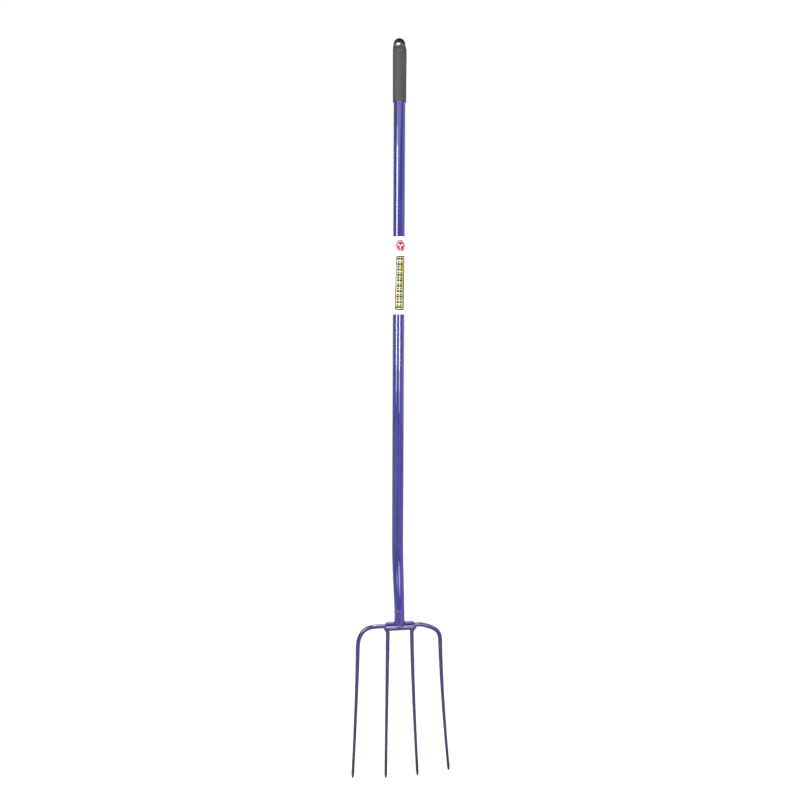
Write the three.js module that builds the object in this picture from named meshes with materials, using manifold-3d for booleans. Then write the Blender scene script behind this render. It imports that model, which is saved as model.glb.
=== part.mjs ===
// Long-handled manure fork, all steel, with four round tines and a push-on vinyl grip.
// Millimetres. +Z runs up along the shaft. The hollow (front) side of the tines faces -Y.
import * as THREE from 'three'
import { mergeVertices } from 'three/addons/utils/BufferGeometryUtils.js'
import Module from 'manifold-3d'

const wasm = await Module()
wasm.setup()

// ---------------------------------------------------------------- driving dimensions
const gap = 0.3 // left between pieces that rest on one another
const barHeight = 347 // centre of both crossbars above the tine tips
const gripTop = 1726

const tube = {
  radius: 14, wall: 1.5, top: 1689,
  mouthRadius: 12, mouthHeight: 382, swageTop: 553, swagePower: 2.2,
}
const neck = { forward: 45, bendTop: 543 }

// radius is the stock at the crossbar, midRadius half way down a tine, endRadius just behind the point
const outerBar = {
  radius: 5.1, midRadius: 3.9, endRadius: 3.25,
  shoulderHalf: 100, tipHalf: 116.2, spreadPower: 1.55,
}
const innerBar = {
  radius: 4.75, midRadius: 3.9, endRadius: 3.25,
  shoulderHalf: 29, tipHalf: 38.2, spreadPower: 1.3,
}
// The front crossbar itself is stouter than its tines and sits a little lower than the rear bar.
const frontBar = { radius: 5.9, drop: 1.3, endHalf: 38 }
// Shoulders of the outer bar: from straightHalf outwards it bends down over the given depth as a
// superellipse; its two powers differ because the right shoulder was bent with more of a droop.
const shoulder = {
  straightHalf: 50, depth: 51,
  left: { across: 2.9, down: 2.4 },
  right: { across: 1.2, down: 4.1 },
}
const tineForward = 48 // how far the tips stand in front of the crossbar
const tipTaper = 9 // length of the short point on every tine
const tipFlat = 1.1 // radius left at the very end of the point

const foot = { radius: 13.6, halfDepth: 10.6, rise: 2.5, spigotTop: 420 }
const web = { leftReach: 38.5, rightReach: 41, depth: 12, thickness: 7.4 }

// Beads in the valley between the crossbars run from x = from to x = to at the given height.
const topBead = { from: 11.5, to: 35, height: barHeight + 7.6, radius: 4.9 }
const underBead = { from: 4, to: 20, height: barHeight - 4.8, radius: 3.4 }
const footBead = { arcHalf: 58, radius: 2.6 }
const collarBead = { bulge: 0.5, halfHeight: 2.6 }

// The tab and its hole sit a little off the shaft's middle; the offsets run towards +X.
const grip = {
  length: 141, lowRadius: 15.7, highRadius: 16.1, shoulderBelowTop: 25.5,
  tabRadius: 13.7, tabOffset: -0.7, tabFootDrop: 21, tabHalfThickness: 8,
  holeRadius: 6.2, holeOffset: -3.6, holeBelowTop: 10.9,
}
const label = { low: 1096.5, high: 1277.5, thickness: 0.25, clearance: 0.12, wrap: 340 }
// Degrees the grip's flat face and the label's middle are turned from the front towards +X.
const gripTwist = -12
const labelTwist = 10

const degree = Math.PI / 180
const roundSides = 36 // tube and label share this so that their facets line up
const barSides = 14

// ---------------------------------------------------------------- derived places
const innerBarY = -neck.forward - gap / 2 - innerBar.radius
const frontBarY = -neck.forward - gap / 2 - frontBar.radius
const outerBarY = -neck.forward + gap / 2 + outerBar.radius

// ---------------------------------------------------------------- shaping helpers
const flat = (x, y) => new THREE.Vector2(x, y)
const ease = (t) => t * t * (3 - 2 * t)
const mix = (a, b, t) => a + (b - a) * t
const share = (value, low, high) => THREE.MathUtils.clamp((value - low) / (high - low), 0, 1)

// A turned body about +Z; the profile is radius against height.
function turned(profile, sides = roundSides) {
  return new THREE.LatheGeometry(profile, sides).rotateX(Math.PI / 2)
}

// Moves every vertex with the given function, in place.
function reshape(geometry, move) {
  const position = geometry.attributes.position
  const point = new THREE.Vector3()
  for (let i = 0; i < position.count; i++) {
    move(point.fromBufferAttribute(position, i))
    position.setXYZ(i, point.x, point.y, point.z)
  }
  geometry.computeVertexNormals()
  return geometry
}

// Forward set of the neck: nothing above bendTop, the full amount at the crossbars, an S bend between.
function neckY(height) {
  return -neck.forward * (1 - ease(share(height, barHeight, neck.bendTop)))
}

// Bends a straight upright body onto the neck line, keeping its sections square to that line.
function bendToNeck(geometry) {
  const step = 0.5
  return reshape(geometry, (point) => {
    const slope = (neckY(point.z + step) - neckY(point.z - step)) / (2 * step)
    const lean = Math.atan(slope)
    const offset = point.y
    point.y = neckY(point.z) + offset * Math.cos(lean)
    point.z -= offset * Math.sin(lean)
  })
}

// A round bar laid along a curve; radiusAt gives its radius at a distance from the start.
function roundBar(curve, stations, radiusAt, sides = barSides) {
  curve.arcLengthDivisions = 800
  const length = curve.getLength()
  const profile = [flat(0, 0)]
  for (const distance of stations(length)) {
    profile.push(flat(radiusAt(distance, length), distance))
  }
  profile.push(flat(0, length))
  const back = new THREE.Vector3(0, 1, 0)
  return reshape(turned(profile, sides), (point) => {
    const along = THREE.MathUtils.clamp(point.z / length, 0, 1)
    const tangent = curve.getTangentAt(along)
    const side = new THREE.Vector3().crossVectors(back, tangent).normalize()
    const normal = new THREE.Vector3().crossVectors(tangent, side)
    const centre = curve.getPointAt(along)
    centre.addScaledVector(side, point.x).addScaledVector(normal, point.y)
    point.copy(centre)
  })
}

// Evenly spread values from low to high, both included.
function spread(low, high, count) {
  return Array.from({ length: count + 1 }, (_, i) => mix(low, high, i / count))
}

function toSolid(geometry) {
  const bare = geometry.index ? geometry.clone() : mergeVertices(geometry.clone())
  bare.deleteAttribute('normal')
  bare.deleteAttribute('uv')
  const merged = mergeVertices(bare, 1e-3)
  return new wasm.Manifold(new wasm.Mesh({
    numProp: 3,
    vertProperties: merged.attributes.position.array,
    triVerts: new Uint32Array(merged.index.array),
  }))
}

function toGeometry(solid) {
  const mesh = solid.getMesh()
  const geometry = new THREE.BufferGeometry()
  geometry.setAttribute('position', new THREE.BufferAttribute(mesh.vertProperties, 3))
  geometry.setIndex(new THREE.BufferAttribute(mesh.triVerts, 1))
  geometry.computeVertexNormals()
  return geometry
}

// ---------------------------------------------------------------- tines
// Forward set of a tine, growing as it drops from the crossbar to the tip.
function dish(drop) {
  const t = drop / barHeight
  return -tineForward * (0.4 * t + 0.6 * t * t)
}

// Centreline of one tine at a given drop: straight at first, then spreading sideways.
function tinePoint(bar, barY, drop, hand) {
  const spreadShare = share(drop, 0, barHeight) ** bar.spreadPower
  const sideways = mix(bar.shoulderHalf, bar.tipHalf, spreadShare)
  return new THREE.Vector3(hand * sideways, barY + dish(drop), barHeight - drop)
}

// Radius of a tine at a distance from its tip: a short point, then a slow taper up to full stock.
function tineRadius(bar, distance) {
  const point = mix(tipFlat / bar.endRadius, 1, Math.sqrt(share(distance, 0, tipTaper)))
  const lower = (bar.midRadius - bar.endRadius) * share(distance, tipTaper, barHeight / 2)
  const upper = (bar.radius - bar.midRadius) * share(distance, barHeight / 2, barHeight - 40)
  return point * (bar.endRadius + lower + upper)
}

const pointStations = [0, 1.5, 4, tipTaper]

// One half of the outer bar, from its tip up and over the shoulder to the end of the straight.
function outerHalf(hand) {
  const bend = hand < 0 ? shoulder.left : shoulder.right
  const tine = spread(barHeight, shoulder.depth, 14).slice(0, -1)
    .map((drop) => tinePoint(outerBar, outerBarY, drop, hand))
  const corner = spread(90, 0, 10).map((angle) => {
    const fall = 1 - Math.cos(angle * degree)
    const across = (1 - (1 - fall) ** bend.down) ** (1 / bend.across)
    const point = tinePoint(outerBar, outerBarY, shoulder.depth * fall, hand)
    point.x = mix(hand * shoulder.straightHalf, point.x, across)
    return point
  })
  return [...tine, ...corner]
}

// The rear bar: one length of round stock bent into a wide U, pointed at both ends.
function outerBarGeometry(extra = 0) {
  const straight = spread(-shoulder.straightHalf, shoulder.straightHalf, 8).slice(1, -1)
    .map((x) => new THREE.Vector3(x, outerBarY, barHeight))
  const curve = new THREE.CatmullRomCurve3([...outerHalf(-1), ...straight, ...outerHalf(1).reverse()])
  const stations = (length) => [
    ...pointStations,
    ...spread(tipTaper + 14, length - tipTaper - 14, 54),
    ...pointStations.map((distance) => length - distance).reverse(),
  ]
  const radiusAt = (distance, length) => tineRadius(outerBar, Math.min(distance, length - distance)) + extra
  return roundBar(curve, stations, radiusAt)
}

// One inner tine, from its tip up to the middle of the front crossbar.
function innerTine(hand, extra) {
  const points = spread(barHeight, 0, 14).map((drop) => tinePoint(innerBar, innerBarY, drop, hand))
  const curve = new THREE.CatmullRomCurve3(points)
  const stations = (length) => [...pointStations, ...spread(tipTaper + 14, length, 20)]
  return toSolid(roundBar(curve, stations, (distance) => tineRadius(innerBar, distance) + extra))
}

// Forged corner where an inner tine leaves the end of the front crossbar.
function cornerWeb(hand, extra) {
  const inside = innerBar.shoulderHalf - innerBar.radius
  const outside = innerBar.shoulderHalf + innerBar.radius
  const reach = hand < 0 ? web.leftReach : web.rightReach
  const top = innerBar.radius * 0.7
  const outline = new THREE.Shape([
    flat(inside, top),
    flat(reach - 2.5, top),
    flat(reach, -innerBar.radius * 0.4),
    flat(outside - 0.6, -web.depth),
    flat(inside + 1.4, -web.depth),
  ])
  const bevel = 1 + extra
  const plate = new THREE.ExtrudeGeometry(outline, {
    depth: web.thickness - 2, bevelThickness: bevel, bevelSize: bevel, bevelOffset: -1, bevelSegments: 1,
  })
  plate.translate(0, 0, 1 - web.thickness / 2)
  plate.rotateX(Math.PI / 2)
  const solid = toSolid(plate.translate(0, innerBarY - 0.2, barHeight))
  return hand > 0 ? solid : solid.mirror([1, 0, 0])
}

// The front bar: a short crossbar with forged corners and the two inner tines.
function innerBarSolid(extra = 0) {
  const roundEnd = frontBar.radius * 0.7
  const line = new THREE.LineCurve3(
    new THREE.Vector3(-frontBar.endHalf, frontBarY, barHeight - frontBar.drop),
    new THREE.Vector3(frontBar.endHalf, frontBarY, barHeight - frontBar.drop),
  )
  const endStations = [0, roundEnd / 3, roundEnd]
  const stations = (length) => [
    ...endStations,
    length / 2,
    ...endStations.map((distance) => length - distance).reverse(),
  ]
  const radiusAt = (distance, length) => {
    const end = share(Math.min(distance, length - distance), 0, roundEnd)
    return frontBar.radius * mix(0.6, 1, Math.sqrt(end)) + extra
  }
  let solid = toSolid(roundBar(line, stations, radiusAt))
  for (const hand of [-1, 1]) {
    solid = solid.add(innerTine(hand, extra)).add(cornerWeb(hand, extra))
  }
  return solid
}

// ---------------------------------------------------------------- shaft
// Steel tube, swaged narrower towards its lower mouth and set forward to meet the crossbars.
function tubeGeometry() {
  const radiusAt = (height) => {
    const closed = (1 - share(height, tube.mouthHeight, tube.swageTop)) ** tube.swagePower
    return mix(tube.radius, tube.mouthRadius, closed)
  }
  const heights = [...spread(tube.mouthHeight, neck.bendTop, 12), tube.top]
  const outside = heights.map((height) => flat(radiusAt(height), height))
  const inside = heights.map((height) => flat(radiusAt(height) - tube.wall, height)).reverse()
  return bendToNeck(turned([...outside, ...inside, outside[0].clone()]))
}

// Forged neck: a spigot inside the tube, and a flared foot that straddles both crossbars.
function neckGeometry(extra = 0) {
  const bottom = barHeight + foot.rise
  const collar = tube.mouthHeight - gap
  const spigot = tube.mouthRadius - tube.wall - gap
  const flare = spread(0, 1, 6).slice(0, -1).map((t) => {
    const radius = mix(tube.mouthRadius, foot.radius, (1 - t) ** 2)
    return flat(radius + extra, mix(bottom, collar, t) - extra * (1 - t))
  })
  const profile = [
    flat(0, bottom - extra),
    ...flare,
    flat(tube.mouthRadius + extra, collar),
    flat(spigot, collar),
    flat(spigot, mix(collar, foot.spigotTop, 0.5)),
    flat(spigot - 0.5, foot.spigotTop),
    flat(0, foot.spigotTop),
  ]
  const forging = reshape(turned(profile, 32), (point) => {
    point.y *= mix(foot.halfDepth / foot.radius, 1, share(point.z, bottom, collar))
  })
  return bendToNeck(forging)
}

// ---------------------------------------------------------------- weld beads
// Everything a bead lies against, grown by the gap.
const neighbours = toSolid(outerBarGeometry(gap)).add(innerBarSolid(gap)).add(toSolid(neckGeometry(gap)))

// A bead of the given radius laid along a line of points, thinner at both ends.
function bead(points, radius) {
  const curve = new THREE.CatmullRomCurve3(points)
  const radiusAt = (distance, length) => {
    const end = share(Math.min(distance, length - distance), 0, radius)
    return radius * mix(0.35, 1, Math.sqrt(end))
  }
  const stations = (length) => spread(0, length, 12)
  const solid = toSolid(roundBar(curve, stations, radiusAt, 14)).subtract(neighbours)
  const pieces = solid.decompose().sort((a, b) => b.volume() - a.volume())
  return toGeometry(pieces[0])
}

// Straight bead in the valley between the two crossbars, on the side given by hand.
function valleyBeadGeometry(hand, { from, to, height, radius }) {
  const points = spread(from, to, 4).map((x) => new THREE.Vector3(hand * x, -neck.forward, height))
  return bead(points, radius)
}

// Curved bead around the front (side -1) or back (side 1) of the neck foot.
function footBeadGeometry(side) {
  const points = spread(-footBead.arcHalf, footBead.arcHalf, 8).map((angle) => {
    const x = foot.radius * Math.sin(angle * degree)
    const y = -neck.forward + side * foot.halfDepth * Math.cos(angle * degree)
    return new THREE.Vector3(x, y, barHeight + foot.rise)
  })
  return bead(points, footBead.radius)
}

// Low ring of weld where the tube mouth meets the neck.
function collarBeadGeometry() {
  const inner = tube.mouthRadius + gap
  const arc = spread(-90, 90, 6).map((angle) => flat(
    inner + collarBead.bulge * Math.cos(angle * degree),
    tube.mouthHeight + collarBead.halfHeight * Math.sin(angle * degree),
  ))
  return bendToNeck(turned([...arc, arc[0].clone()]))
}

// ---------------------------------------------------------------- grip and label
// Outline of the grip seen from the front: straight sides, a slight shoulder, a round top.
function gripFrontOutline() {
  const right = grip.tabOffset + grip.tabRadius
  const left = grip.tabOffset - grip.tabRadius
  const footFlare = 0.9
  const shape = new THREE.Shape()
  shape.moveTo(-grip.highRadius, -grip.length)
  shape.lineTo(grip.highRadius, -grip.length)
  shape.lineTo(grip.highRadius, -grip.shoulderBelowTop)
  shape.lineTo(right + footFlare, -grip.tabFootDrop)
  shape.lineTo(right, -grip.tabRadius)
  shape.absarc(grip.tabOffset, -grip.tabRadius, grip.tabRadius, 0, Math.PI)
  shape.lineTo(left - footFlare, -grip.tabFootDrop)
  shape.lineTo(-grip.highRadius, -grip.shoulderBelowTop)
  return shape
}

// Outline seen from the side: full depth below, a hollow shoulder, then the flat tab.
function gripSideOutline() {
  const full = grip.highRadius + 1
  const tab = grip.tabHalfThickness
  const hollowLow = -grip.shoulderBelowTop - 5
  const hollowMiddle = hollowLow + 3
  const shape = new THREE.Shape()
  shape.moveTo(-full, -grip.length)
  shape.lineTo(full, -grip.length)
  shape.lineTo(full, hollowLow)
  shape.quadraticCurveTo(tab, hollowMiddle, tab, -grip.tabFootDrop)
  shape.lineTo(tab, 1)
  shape.lineTo(-tab, 1)
  shape.lineTo(-tab, -grip.tabFootDrop)
  shape.quadraticCurveTo(-tab, hollowMiddle, -full, hollowLow)
  return shape
}

// Push-on vinyl sleeve, closed at the top by a flat tab with a hanging hole; its top is at height 0.
function gripGeometry() {
  const width = 2 * grip.highRadius + 4
  const options = { depth: width, bevelEnabled: false, curveSegments: 14 }
  const front = new THREE.ExtrudeGeometry(gripFrontOutline(), options)
    .translate(0, 0, -width / 2).rotateX(Math.PI / 2)
  const side = new THREE.ExtrudeGeometry(gripSideOutline(), { ...options, curveSegments: 6 })
    .translate(0, 0, -width / 2).rotateX(Math.PI / 2).rotateZ(Math.PI / 2)
  const round = turned([
    flat(0, -grip.length),
    flat(grip.lowRadius - 0.8, -grip.length),
    flat(grip.lowRadius, -grip.length + 1),
    flat(grip.highRadius, -grip.shoulderBelowTop),
    flat(grip.highRadius, 1),
    flat(0, 1),
  ])
  const boreTop = tube.top + gap - gripTop
  const bore = turned([
    flat(0, -grip.length - 5),
    flat(tube.radius + gap, -grip.length - 5),
    flat(tube.radius + gap, boreTop),
    flat(0, boreTop),
  ])
  const hole = new THREE.CylinderGeometry(grip.holeRadius, grip.holeRadius, width, 28)
    .translate(grip.holeOffset, 0, -grip.holeBelowTop)
  const solid = toSolid(round).intersect(toSolid(front)).intersect(toSolid(side))
    .subtract(toSolid(bore)).subtract(toSolid(hole))
  return toGeometry(solid)
}

// Thin printed vinyl sheet wrapped round the shaft, with a narrow seam left open at the back;
// its lower edge is at height 0.
function labelGeometry() {
  const inner = tube.radius + label.clearance
  const outer = inner + label.thickness
  const start = (-90 - label.wrap / 2) * degree
  const end = (-90 + label.wrap / 2) * degree
  const shape = new THREE.Shape()
  shape.absarc(0, 0, outer, start, end, false)
  shape.absarc(0, 0, inner, end, start, true)
  const segments = Math.round(label.wrap * roundSides / 360)
  const options = { depth: label.high - label.low, bevelEnabled: false, curveSegments: segments }
  return new THREE.ExtrudeGeometry(shape, options)
}

// ---------------------------------------------------------------- assembly
const finishes = {
  enamel: { color: '#5a54a3', roughness: 0.35, metalness: 0 },
  vinyl_grip: { color: '#55575c', roughness: 0.7, metalness: 0 },
  vinyl_label: { color: '#e9e7ee', roughness: 0.4, metalness: 0 },
}

const group = new THREE.Group()

function add(name, geometry, finish) {
  const mesh = new THREE.Mesh(geometry, new THREE.MeshStandardMaterial(finishes[finish]))
  mesh.name = name
  group.add(mesh)
  return mesh
}

const gripMesh = add('grip_sleeve', gripGeometry(), 'vinyl_grip')
gripMesh.rotation.z = gripTwist * degree
gripMesh.position.z = gripTop
const labelMesh = add('label_wrap', labelGeometry(), 'vinyl_label')
labelMesh.rotation.z = labelTwist * degree
labelMesh.position.z = label.low

const saddled = toSolid(neckGeometry()).subtract(toSolid(outerBarGeometry(gap))).subtract(innerBarSolid(gap))
add('shaft_tube', tubeGeometry(), 'enamel')
add('neck_tang', toGeometry(saddled), 'enamel')
add('outer_tine_bar', outerBarGeometry(), 'enamel')
add('inner_tine_bar', toGeometry(innerBarSolid()), 'enamel')

add('weld_tube_collar', collarBeadGeometry(), 'enamel')
add('weld_neck_front', footBeadGeometry(-1), 'enamel')
add('weld_neck_back', footBeadGeometry(1), 'enamel')
for (const [side, hand] of [['left', -1], ['right', 1]]) {
  add(`weld_top_${side}`, valleyBeadGeometry(hand, topBead), 'enamel')
  add(`weld_under_${side}`, valleyBeadGeometry(hand, underBead), 'enamel')
}

// The origin is the bottom centre of the whole fork's box.
const box = new THREE.Box3().setFromObject(group, true)
const centre = box.getCenter(new THREE.Vector3())
group.position.set(-centre.x, -centre.y, -box.min.z)

export default group
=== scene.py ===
"""Looks of the long-handled manure fork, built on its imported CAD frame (Blender 4.5).

All shape code works in millimetres; mesh_object() turns them into metres.
"""

import math

import bmesh
import bpy
from mathutils import Matrix, Vector, noise


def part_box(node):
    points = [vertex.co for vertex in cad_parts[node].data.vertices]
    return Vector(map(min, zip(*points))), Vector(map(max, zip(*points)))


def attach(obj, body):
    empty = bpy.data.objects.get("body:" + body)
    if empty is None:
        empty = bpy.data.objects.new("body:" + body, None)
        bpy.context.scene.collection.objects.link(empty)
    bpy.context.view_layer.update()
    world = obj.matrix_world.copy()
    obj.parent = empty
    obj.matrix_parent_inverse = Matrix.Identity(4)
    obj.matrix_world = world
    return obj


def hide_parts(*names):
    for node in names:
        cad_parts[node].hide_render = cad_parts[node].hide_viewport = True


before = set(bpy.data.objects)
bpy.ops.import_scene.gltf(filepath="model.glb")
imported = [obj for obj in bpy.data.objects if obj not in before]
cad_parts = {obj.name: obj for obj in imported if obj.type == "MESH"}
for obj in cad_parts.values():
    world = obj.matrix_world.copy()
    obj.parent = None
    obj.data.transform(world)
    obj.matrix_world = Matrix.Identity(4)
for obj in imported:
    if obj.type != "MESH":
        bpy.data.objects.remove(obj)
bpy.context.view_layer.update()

MM = 0.001
BACK = Vector((0, 1, 0))


def box_mm(node):
    low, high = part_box(node)
    return Vector(low) / MM, Vector(high) / MM


# ------------------------------------------------------------------ places taken from the frame
tube_low, tube_high = box_mm("shaft_tube")
_, outer_high = box_mm("outer_tine_bar")
grip_low, grip_high = box_mm("grip_sleeve")
label_low, label_high = box_mm("label_wrap")

GAP = 0.3
OUTER_STOCK = 5.1
INNER_STOCK = 4.75
MID_STOCK = 3.9
END_STOCK = 3.25

TUBE_RADIUS = (tube_high.x - tube_low.x) / 2
TUBE_WALL = 1.5
AXIS_Y = tube_high.y - TUBE_RADIUS
BAR_Z = outer_high.z - OUTER_STOCK
OUTER_Y = outer_high.y - OUTER_STOCK
JOINT_Y = OUTER_Y - OUTER_STOCK - GAP / 2
INNER_Y = JOINT_Y - GAP / 2 - INNER_STOCK
NECK_FORWARD = AXIS_Y - JOINT_Y
MOUTH_Z = BAR_Z + 35
MOUTH_RADIUS = 12
SWAGE_TOP_Z = BAR_Z + 206
SWAGE_POWER = 2.2
BEND_TOP_Z = BAR_Z + 196

TIP_TAPER = 9
TIP_FLAT = 1.1
POINT_LENGTH = 20  # free of hammer marks
TINE_FORWARD = 48
OUTER_SHOULDER_HALF = 100
OUTER_TIP_HALF = 116.2
OUTER_SPREAD_POWER = 1.55
STRAIGHT_HALF = 50
SHOULDER_DEPTH = 51
SHOULDER_POWERS = {-1: (2.9, 2.4), 1: (1.2, 4.1)}  # across and down, by side
INNER_SHOULDER_HALF = 29
INNER_TIP_HALF = 38.2
INNER_SPREAD_POWER = 1.3
FRONT_BAR_RADIUS = 5.9
FRONT_BAR_DROP = 1.3
FRONT_BAR_HALF = 38
FRONT_BAR_Y = JOINT_Y - GAP / 2 - FRONT_BAR_RADIUS
WEB_LEFT_REACH = 38.5
WEB_RIGHT_REACH = 41
WEB_DEPTH = 12
WEB_HALF_THICKNESS = 3.7

FOOT_RADIUS = 13.6
FOOT_HALF_DEPTH = 10.6
FOOT_Z = BAR_Z + 2.5
SPIGOT_TOP_Z = MOUTH_Z + 38

GRIP_LENGTH = grip_high.z - grip_low.z
GRIP_RADIUS = 16.1
GRIP_LOW_RADIUS = 15.7
GRIP_TAB_RADIUS = 13.7
GRIP_TAB_OFFSET = -0.7
GRIP_TAB_HALF = 8.6
GRIP_TAB_TOP = -1.3  # moulded top of the tab below the box's top
GRIP_TAB_FOOT_DOWN = 21
GRIP_HOLE_RADIUS = 6.2
GRIP_HOLE_OFFSET = -3.6
GRIP_HOLE_DOWN = 10.9
GRIP_SHOULDER_DOWN = 25.5
GRIP_TWIST = math.radians(-12)

LABEL_RADIUS = (label_high.x - label_low.x) / 2
LABEL_HALF_WRAP = math.radians(170)
LABEL_TWIST = math.radians(10)


# ------------------------------------------------------------------ small shared maths
def mix(a, b, t):
    return a + (b - a) * t


def share(value, low, high):
    return min(1.0, max(0.0, (value - low) / (high - low)))


def ease(t):
    return t * t * (3 - 2 * t)


def spread(low, high, count):
    return [mix(low, high, i / count) for i in range(count + 1)]


def wobble(x, y=0.0, z=0.0):
    """Smooth, repeatable unevenness between about -1 and 1."""
    return noise.noise(Vector((x, y, z)))


# ------------------------------------------------------------------ mesh helpers
def mesh_object(name, vertices, faces):
    mesh = bpy.data.meshes.new(name)
    mesh.from_pydata([tuple(Vector(v) * MM) for v in vertices], [], faces)
    mesh.validate()
    obj = bpy.data.objects.new(name, mesh)
    bpy.context.collection.objects.link(obj)
    return obj


def skin(name, rings, loop=False):
    """A closed surface through a row of rings: a loop closes on itself, else both ends are capped."""
    sides = len(rings[0])
    vertices = [point for ring in rings for point in ring]
    faces = []
    pairs = len(rings) if loop else len(rings) - 1
    for i in range(pairs):
        here = i * sides
        there = ((i + 1) % len(rings)) * sides
        for j in range(sides):
            k = (j + 1) % sides
            faces.append((here + j, here + k, there + k, there + j))
    if not loop:
        first = sum(rings[0], Vector()) / sides
        last = sum(rings[-1], Vector()) / sides
        vertices += [first, last]
        end = (len(rings) - 1) * sides
        for j in range(sides):
            k = (j + 1) % sides
            faces.append((len(vertices) - 2, k, j))
            faces.append((len(vertices) - 1, end + j, end + k))
    return mesh_object(name, vertices, faces)


def sweep(centres, radius_at, sides):
    """Rings square to a line of centres. radius_at(distance, length, angle) gives each point's radius."""
    distances = [0.0]
    for a, b in zip(centres, centres[1:]):
        distances.append(distances[-1] + (b - a).length)
    rings = []
    for i, centre in enumerate(centres):
        before = centres[max(0, i - 1)]
        after = centres[min(len(centres) - 1, i + 1)]
        tangent = (after - before).normalized()
        side = BACK.cross(tangent).normalized()
        normal = tangent.cross(side)
        ring = []
        for j in range(sides):
            angle = 2 * math.pi * j / sides
            radius = radius_at(distances[i], distances[-1], angle)
            ring.append(centre + (side * math.cos(angle) + normal * math.sin(angle)) * radius)
        rings.append(ring)
    return rings


def turned(profile, sides, place=None):
    """Rings of a body turned about the z axis; the profile is (radius, height) pairs."""
    rings = []
    for radius, height in profile:
        ring = []
        for j in range(sides):
            angle = 2 * math.pi * j / sides
            point = Vector((radius * math.cos(angle), radius * math.sin(angle), height))
            ring.append(place(point) if place else point)
        rings.append(ring)
    return rings


def smoothed_line(points, step):
    """Evenly spaced points, about step apart, on a smooth line through the given points."""
    dense = []
    last = len(points) - 1
    for i in range(last):
        p0, p1, p2, p3 = (points[min(last, max(0, i + k))] for k in (-1, 0, 1, 2))
        pieces = max(2, round((p2 - p1).length / step))
        for j in range(pieces):
            t = j / pieces
            dense.append(0.5 * (2 * p1 + (p2 - p0) * t + (2 * p0 - 5 * p1 + 4 * p2 - p3) * t * t
                                + (3 * p1 - p0 - 3 * p2 + p3) * t ** 3))
    dense.append(points[-1].copy())
    return dense


def baked(obj):
    """Replaces an object's mesh with the result of its modifiers."""
    bpy.context.view_layer.update()
    evaluated = obj.evaluated_get(bpy.context.evaluated_depsgraph_get())
    result = bpy.data.meshes.new_from_object(evaluated)
    obj.modifiers.clear()
    obj.data = result
    return obj


def combined(base, operation, other):
    """Boolean of two closed objects, kept in the first; the second is removed."""
    cut = base.modifiers.new("combine", "BOOLEAN")
    cut.operation = operation
    cut.solver = "EXACT"
    cut.object = other
    baked(base)
    bpy.data.objects.remove(other)
    return base


def softened(obj, voxel, rounds):
    """Rebuilds a closed object in small even faces and rounds its creases, as forging or moulding does."""
    remesh = obj.modifiers.new("even", "REMESH")
    remesh.mode = "VOXEL"
    remesh.voxel_size = voxel * MM
    smooth = obj.modifiers.new("soften", "SMOOTH")
    smooth.factor = 0.5
    smooth.iterations = rounds
    return baked(obj)


def pillowed(obj, low, high, rounds):
    """Rounds a fine mesh strongly above the height high, fading out down to the height low."""
    zone = obj.vertex_groups.new(name="pillow")
    for vertex in obj.data.vertices:
        zone.add([vertex.index], ease(share(vertex.co.z / MM, low, high)), "REPLACE")
    smooth = obj.modifiers.new("pillow", "SMOOTH")
    smooth.factor = 0.5
    smooth.iterations = rounds
    smooth.vertex_group = zone.name
    return baked(obj)


def finished(obj, material, slot, *nodes):
    """Gives a piece its material, smooth shading and a place under the root body, and hides the CAD nodes
    it stands for.
    """
    obj.data.materials.clear()
    obj.data.materials.append(material)
    for polygon in obj.data.polygons:
        polygon.use_smooth = True
    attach(obj, "root")
    if nodes:
        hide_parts(*nodes)
    return obj


# ------------------------------------------------------------------ material helper
class Nodes:
    """A shader node tree written as plain steps."""

    def __init__(self, tree):
        self.tree = tree

    def node(self, kind, **settings):
        made = self.tree.nodes.new(kind)
        for key, value in settings.items():
            setattr(made, key, value)
        return made

    def join(self, value, socket):
        if isinstance(value, bpy.types.NodeSocket):
            self.tree.links.new(value, socket)
        elif isinstance(value, tuple) and len(value) == 3 and socket.type == "RGBA":
            socket.default_value = (*value, 1)
        else:
            socket.default_value = value

    def split(self, vector):
        parts = self.node("ShaderNodeSeparateXYZ")
        self.join(vector, parts.inputs[0])
        return parts.outputs

    def sum(self, operation, a, b=0.0):
        maths = self.node("ShaderNodeMath", operation=operation)
        self.join(a, maths.inputs[0])
        self.join(b, maths.inputs[1])
        return maths.outputs[0]

    def remap(self, value, low, high, to_low=0.0, to_high=1.0):
        ranged = self.node("ShaderNodeMapRange", interpolation_type="SMOOTHSTEP")
        self.join(value, ranged.inputs["Value"])
        for key, number in (("From Min", low), ("From Max", high), ("To Min", to_low), ("To Max", to_high)):
            self.join(number, ranged.inputs[key])
        return ranged.outputs["Result"]

    def blend(self, amount, a, b):
        """Colour a where amount is 0, colour b where it is 1."""
        mixer = self.node("ShaderNodeMix", data_type="RGBA")
        self.join(amount, mixer.inputs["Factor"])
        self.join(a, mixer.inputs[6])
        self.join(b, mixer.inputs[7])
        return mixer.outputs[2]


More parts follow.
